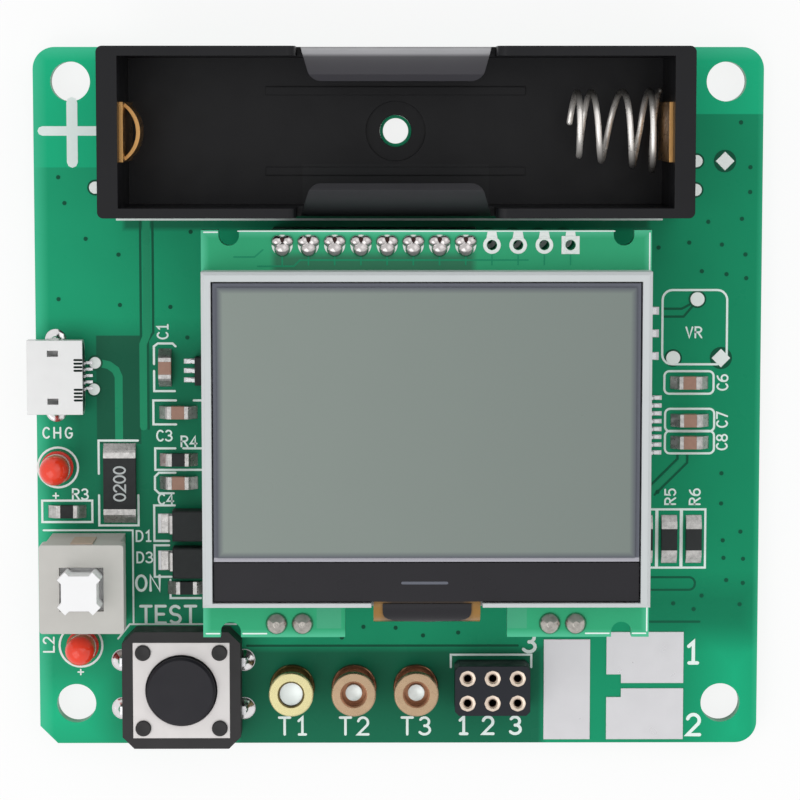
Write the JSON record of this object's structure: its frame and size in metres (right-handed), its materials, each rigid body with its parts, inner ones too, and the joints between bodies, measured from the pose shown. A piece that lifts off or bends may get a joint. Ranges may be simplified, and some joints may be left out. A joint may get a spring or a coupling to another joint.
{
  "type": "component tester",
  "caption": "Bare-board component tester with a cell holder, plug-on graphic display, test button, latching power switch, micro-USB charging port, round test sockets and flat test pads.",
  "frame": {"origin": "centre of the four corner holes, on the board's underside", "axes": "+X to the right and +Y up the board as it is read, +Z out of the component side"},
  "size_m": [0.0741, 0.0709, 0.0188],
  "materials": {
    "board_green": "solder mask over fibreglass",
    "solder": "bright tin",
    "black_plastic": "moulded, fine texture",
    "brass": "turned, bright",
    "spring_steel": "nickel plated wire",
    "steel": "tinned sheet",
    "glass": "clear, ground edges",
    "screen_film": "grey-green polariser",
    "tray_plastic": "translucent white",
    "flex_amber": "amber film",
    "chip_black": "moulded epoxy",
    "ferrite": "sintered ferrite",
    "capacitor_tan": "ceramic",
    "red_lens": "diffused red",
    "switch_grey": "warm grey moulding",
    "white_plastic": "white moulding"
  },
  "bodies": {
    "tester": {"battery_holder": "black_plastic", "boost_chip_body": "chip_black", "boost_chip_leads": "steel", "button_base": "black_plastic", "button_cover": "steel", "button_dome": "spring_steel", "button_terminals": "steel", "charge_led": "red_lens", "charger_chip_body": "chip_black", "charger_chip_leads": "steel", "chip_capacitor_bodies": "capacitor_tan", "chip_ends": "solder", "chip_resistor_bodies": "chip_black", "crystal": "steel", "diode_bodies": "chip_black", "diode_leads": "steel", "display_board": "board_green", "display_driver_chip": "chip_black", "display_flex": "flex_amber", "display_frame": "tray_plastic", "display_front_glass": "glass", "display_ledge_cover": "black_plastic", "display_pins": "brass", "display_plugs": "black_plastic", "display_polariser": "screen_film", "display_rear_glass": "glass", "display_socket_contacts": "brass", "display_sockets": "black_plastic", "led_leads": "steel", "main_board": "board_green", "microcontroller_body": "chip_black", "microcontroller_leads": "steel", "negative_contact": "brass", "positive_contact": "brass", "power_inductor": "ferrite", "power_led": "red_lens", "regulator_body": "chip_black", "regulator_leads": "steel", "shunt_resistor_body": "chip_black", "socket_strip_body": "black_plastic", "socket_strip_contacts": "brass", "solder_joints": "solder", "switch_base": "black_plastic", "switch_contacts": "steel", "switch_housing": "switch_grey", "switch_return_spring": "spring_steel", "test_pads": "solder", "test_socket_1": "brass", "test_socket_2": "brass", "test_socket_3": "brass", "usb_contacts": "brass", "usb_shell": "steel", "usb_tongue": "black_plastic"},
    "button": {"button_plunger": "black_plastic"},
    "switch_key": {"switch_plunger": "white_plastic"},
    "cell_spring": {"negative_spring": "spring_steel"}
  },
  "joints": [
    {"name": "test_button_press", "type": "slide", "parent": "tester", "child": "button", "axis": [0, 0, -1], "range_m": [0, 0.0003], "stiffness_N_per_m": 1200},
    {"name": "power_switch_press", "type": "slide", "parent": "tester", "child": "switch_key", "axis": [0, 0, -1], "range_m": [0, 0.002], "stiffness_N_per_m": 300, "deforming": ["switch_return_spring"]},
    {"name": "cell_spring_press", "type": "slide", "parent": "tester", "child": "cell_spring", "axis": [1, 0, 0], "range_m": [0, 0.005], "stiffness_N_per_m": 300, "deforming": ["negative_spring"]}
  ]
}
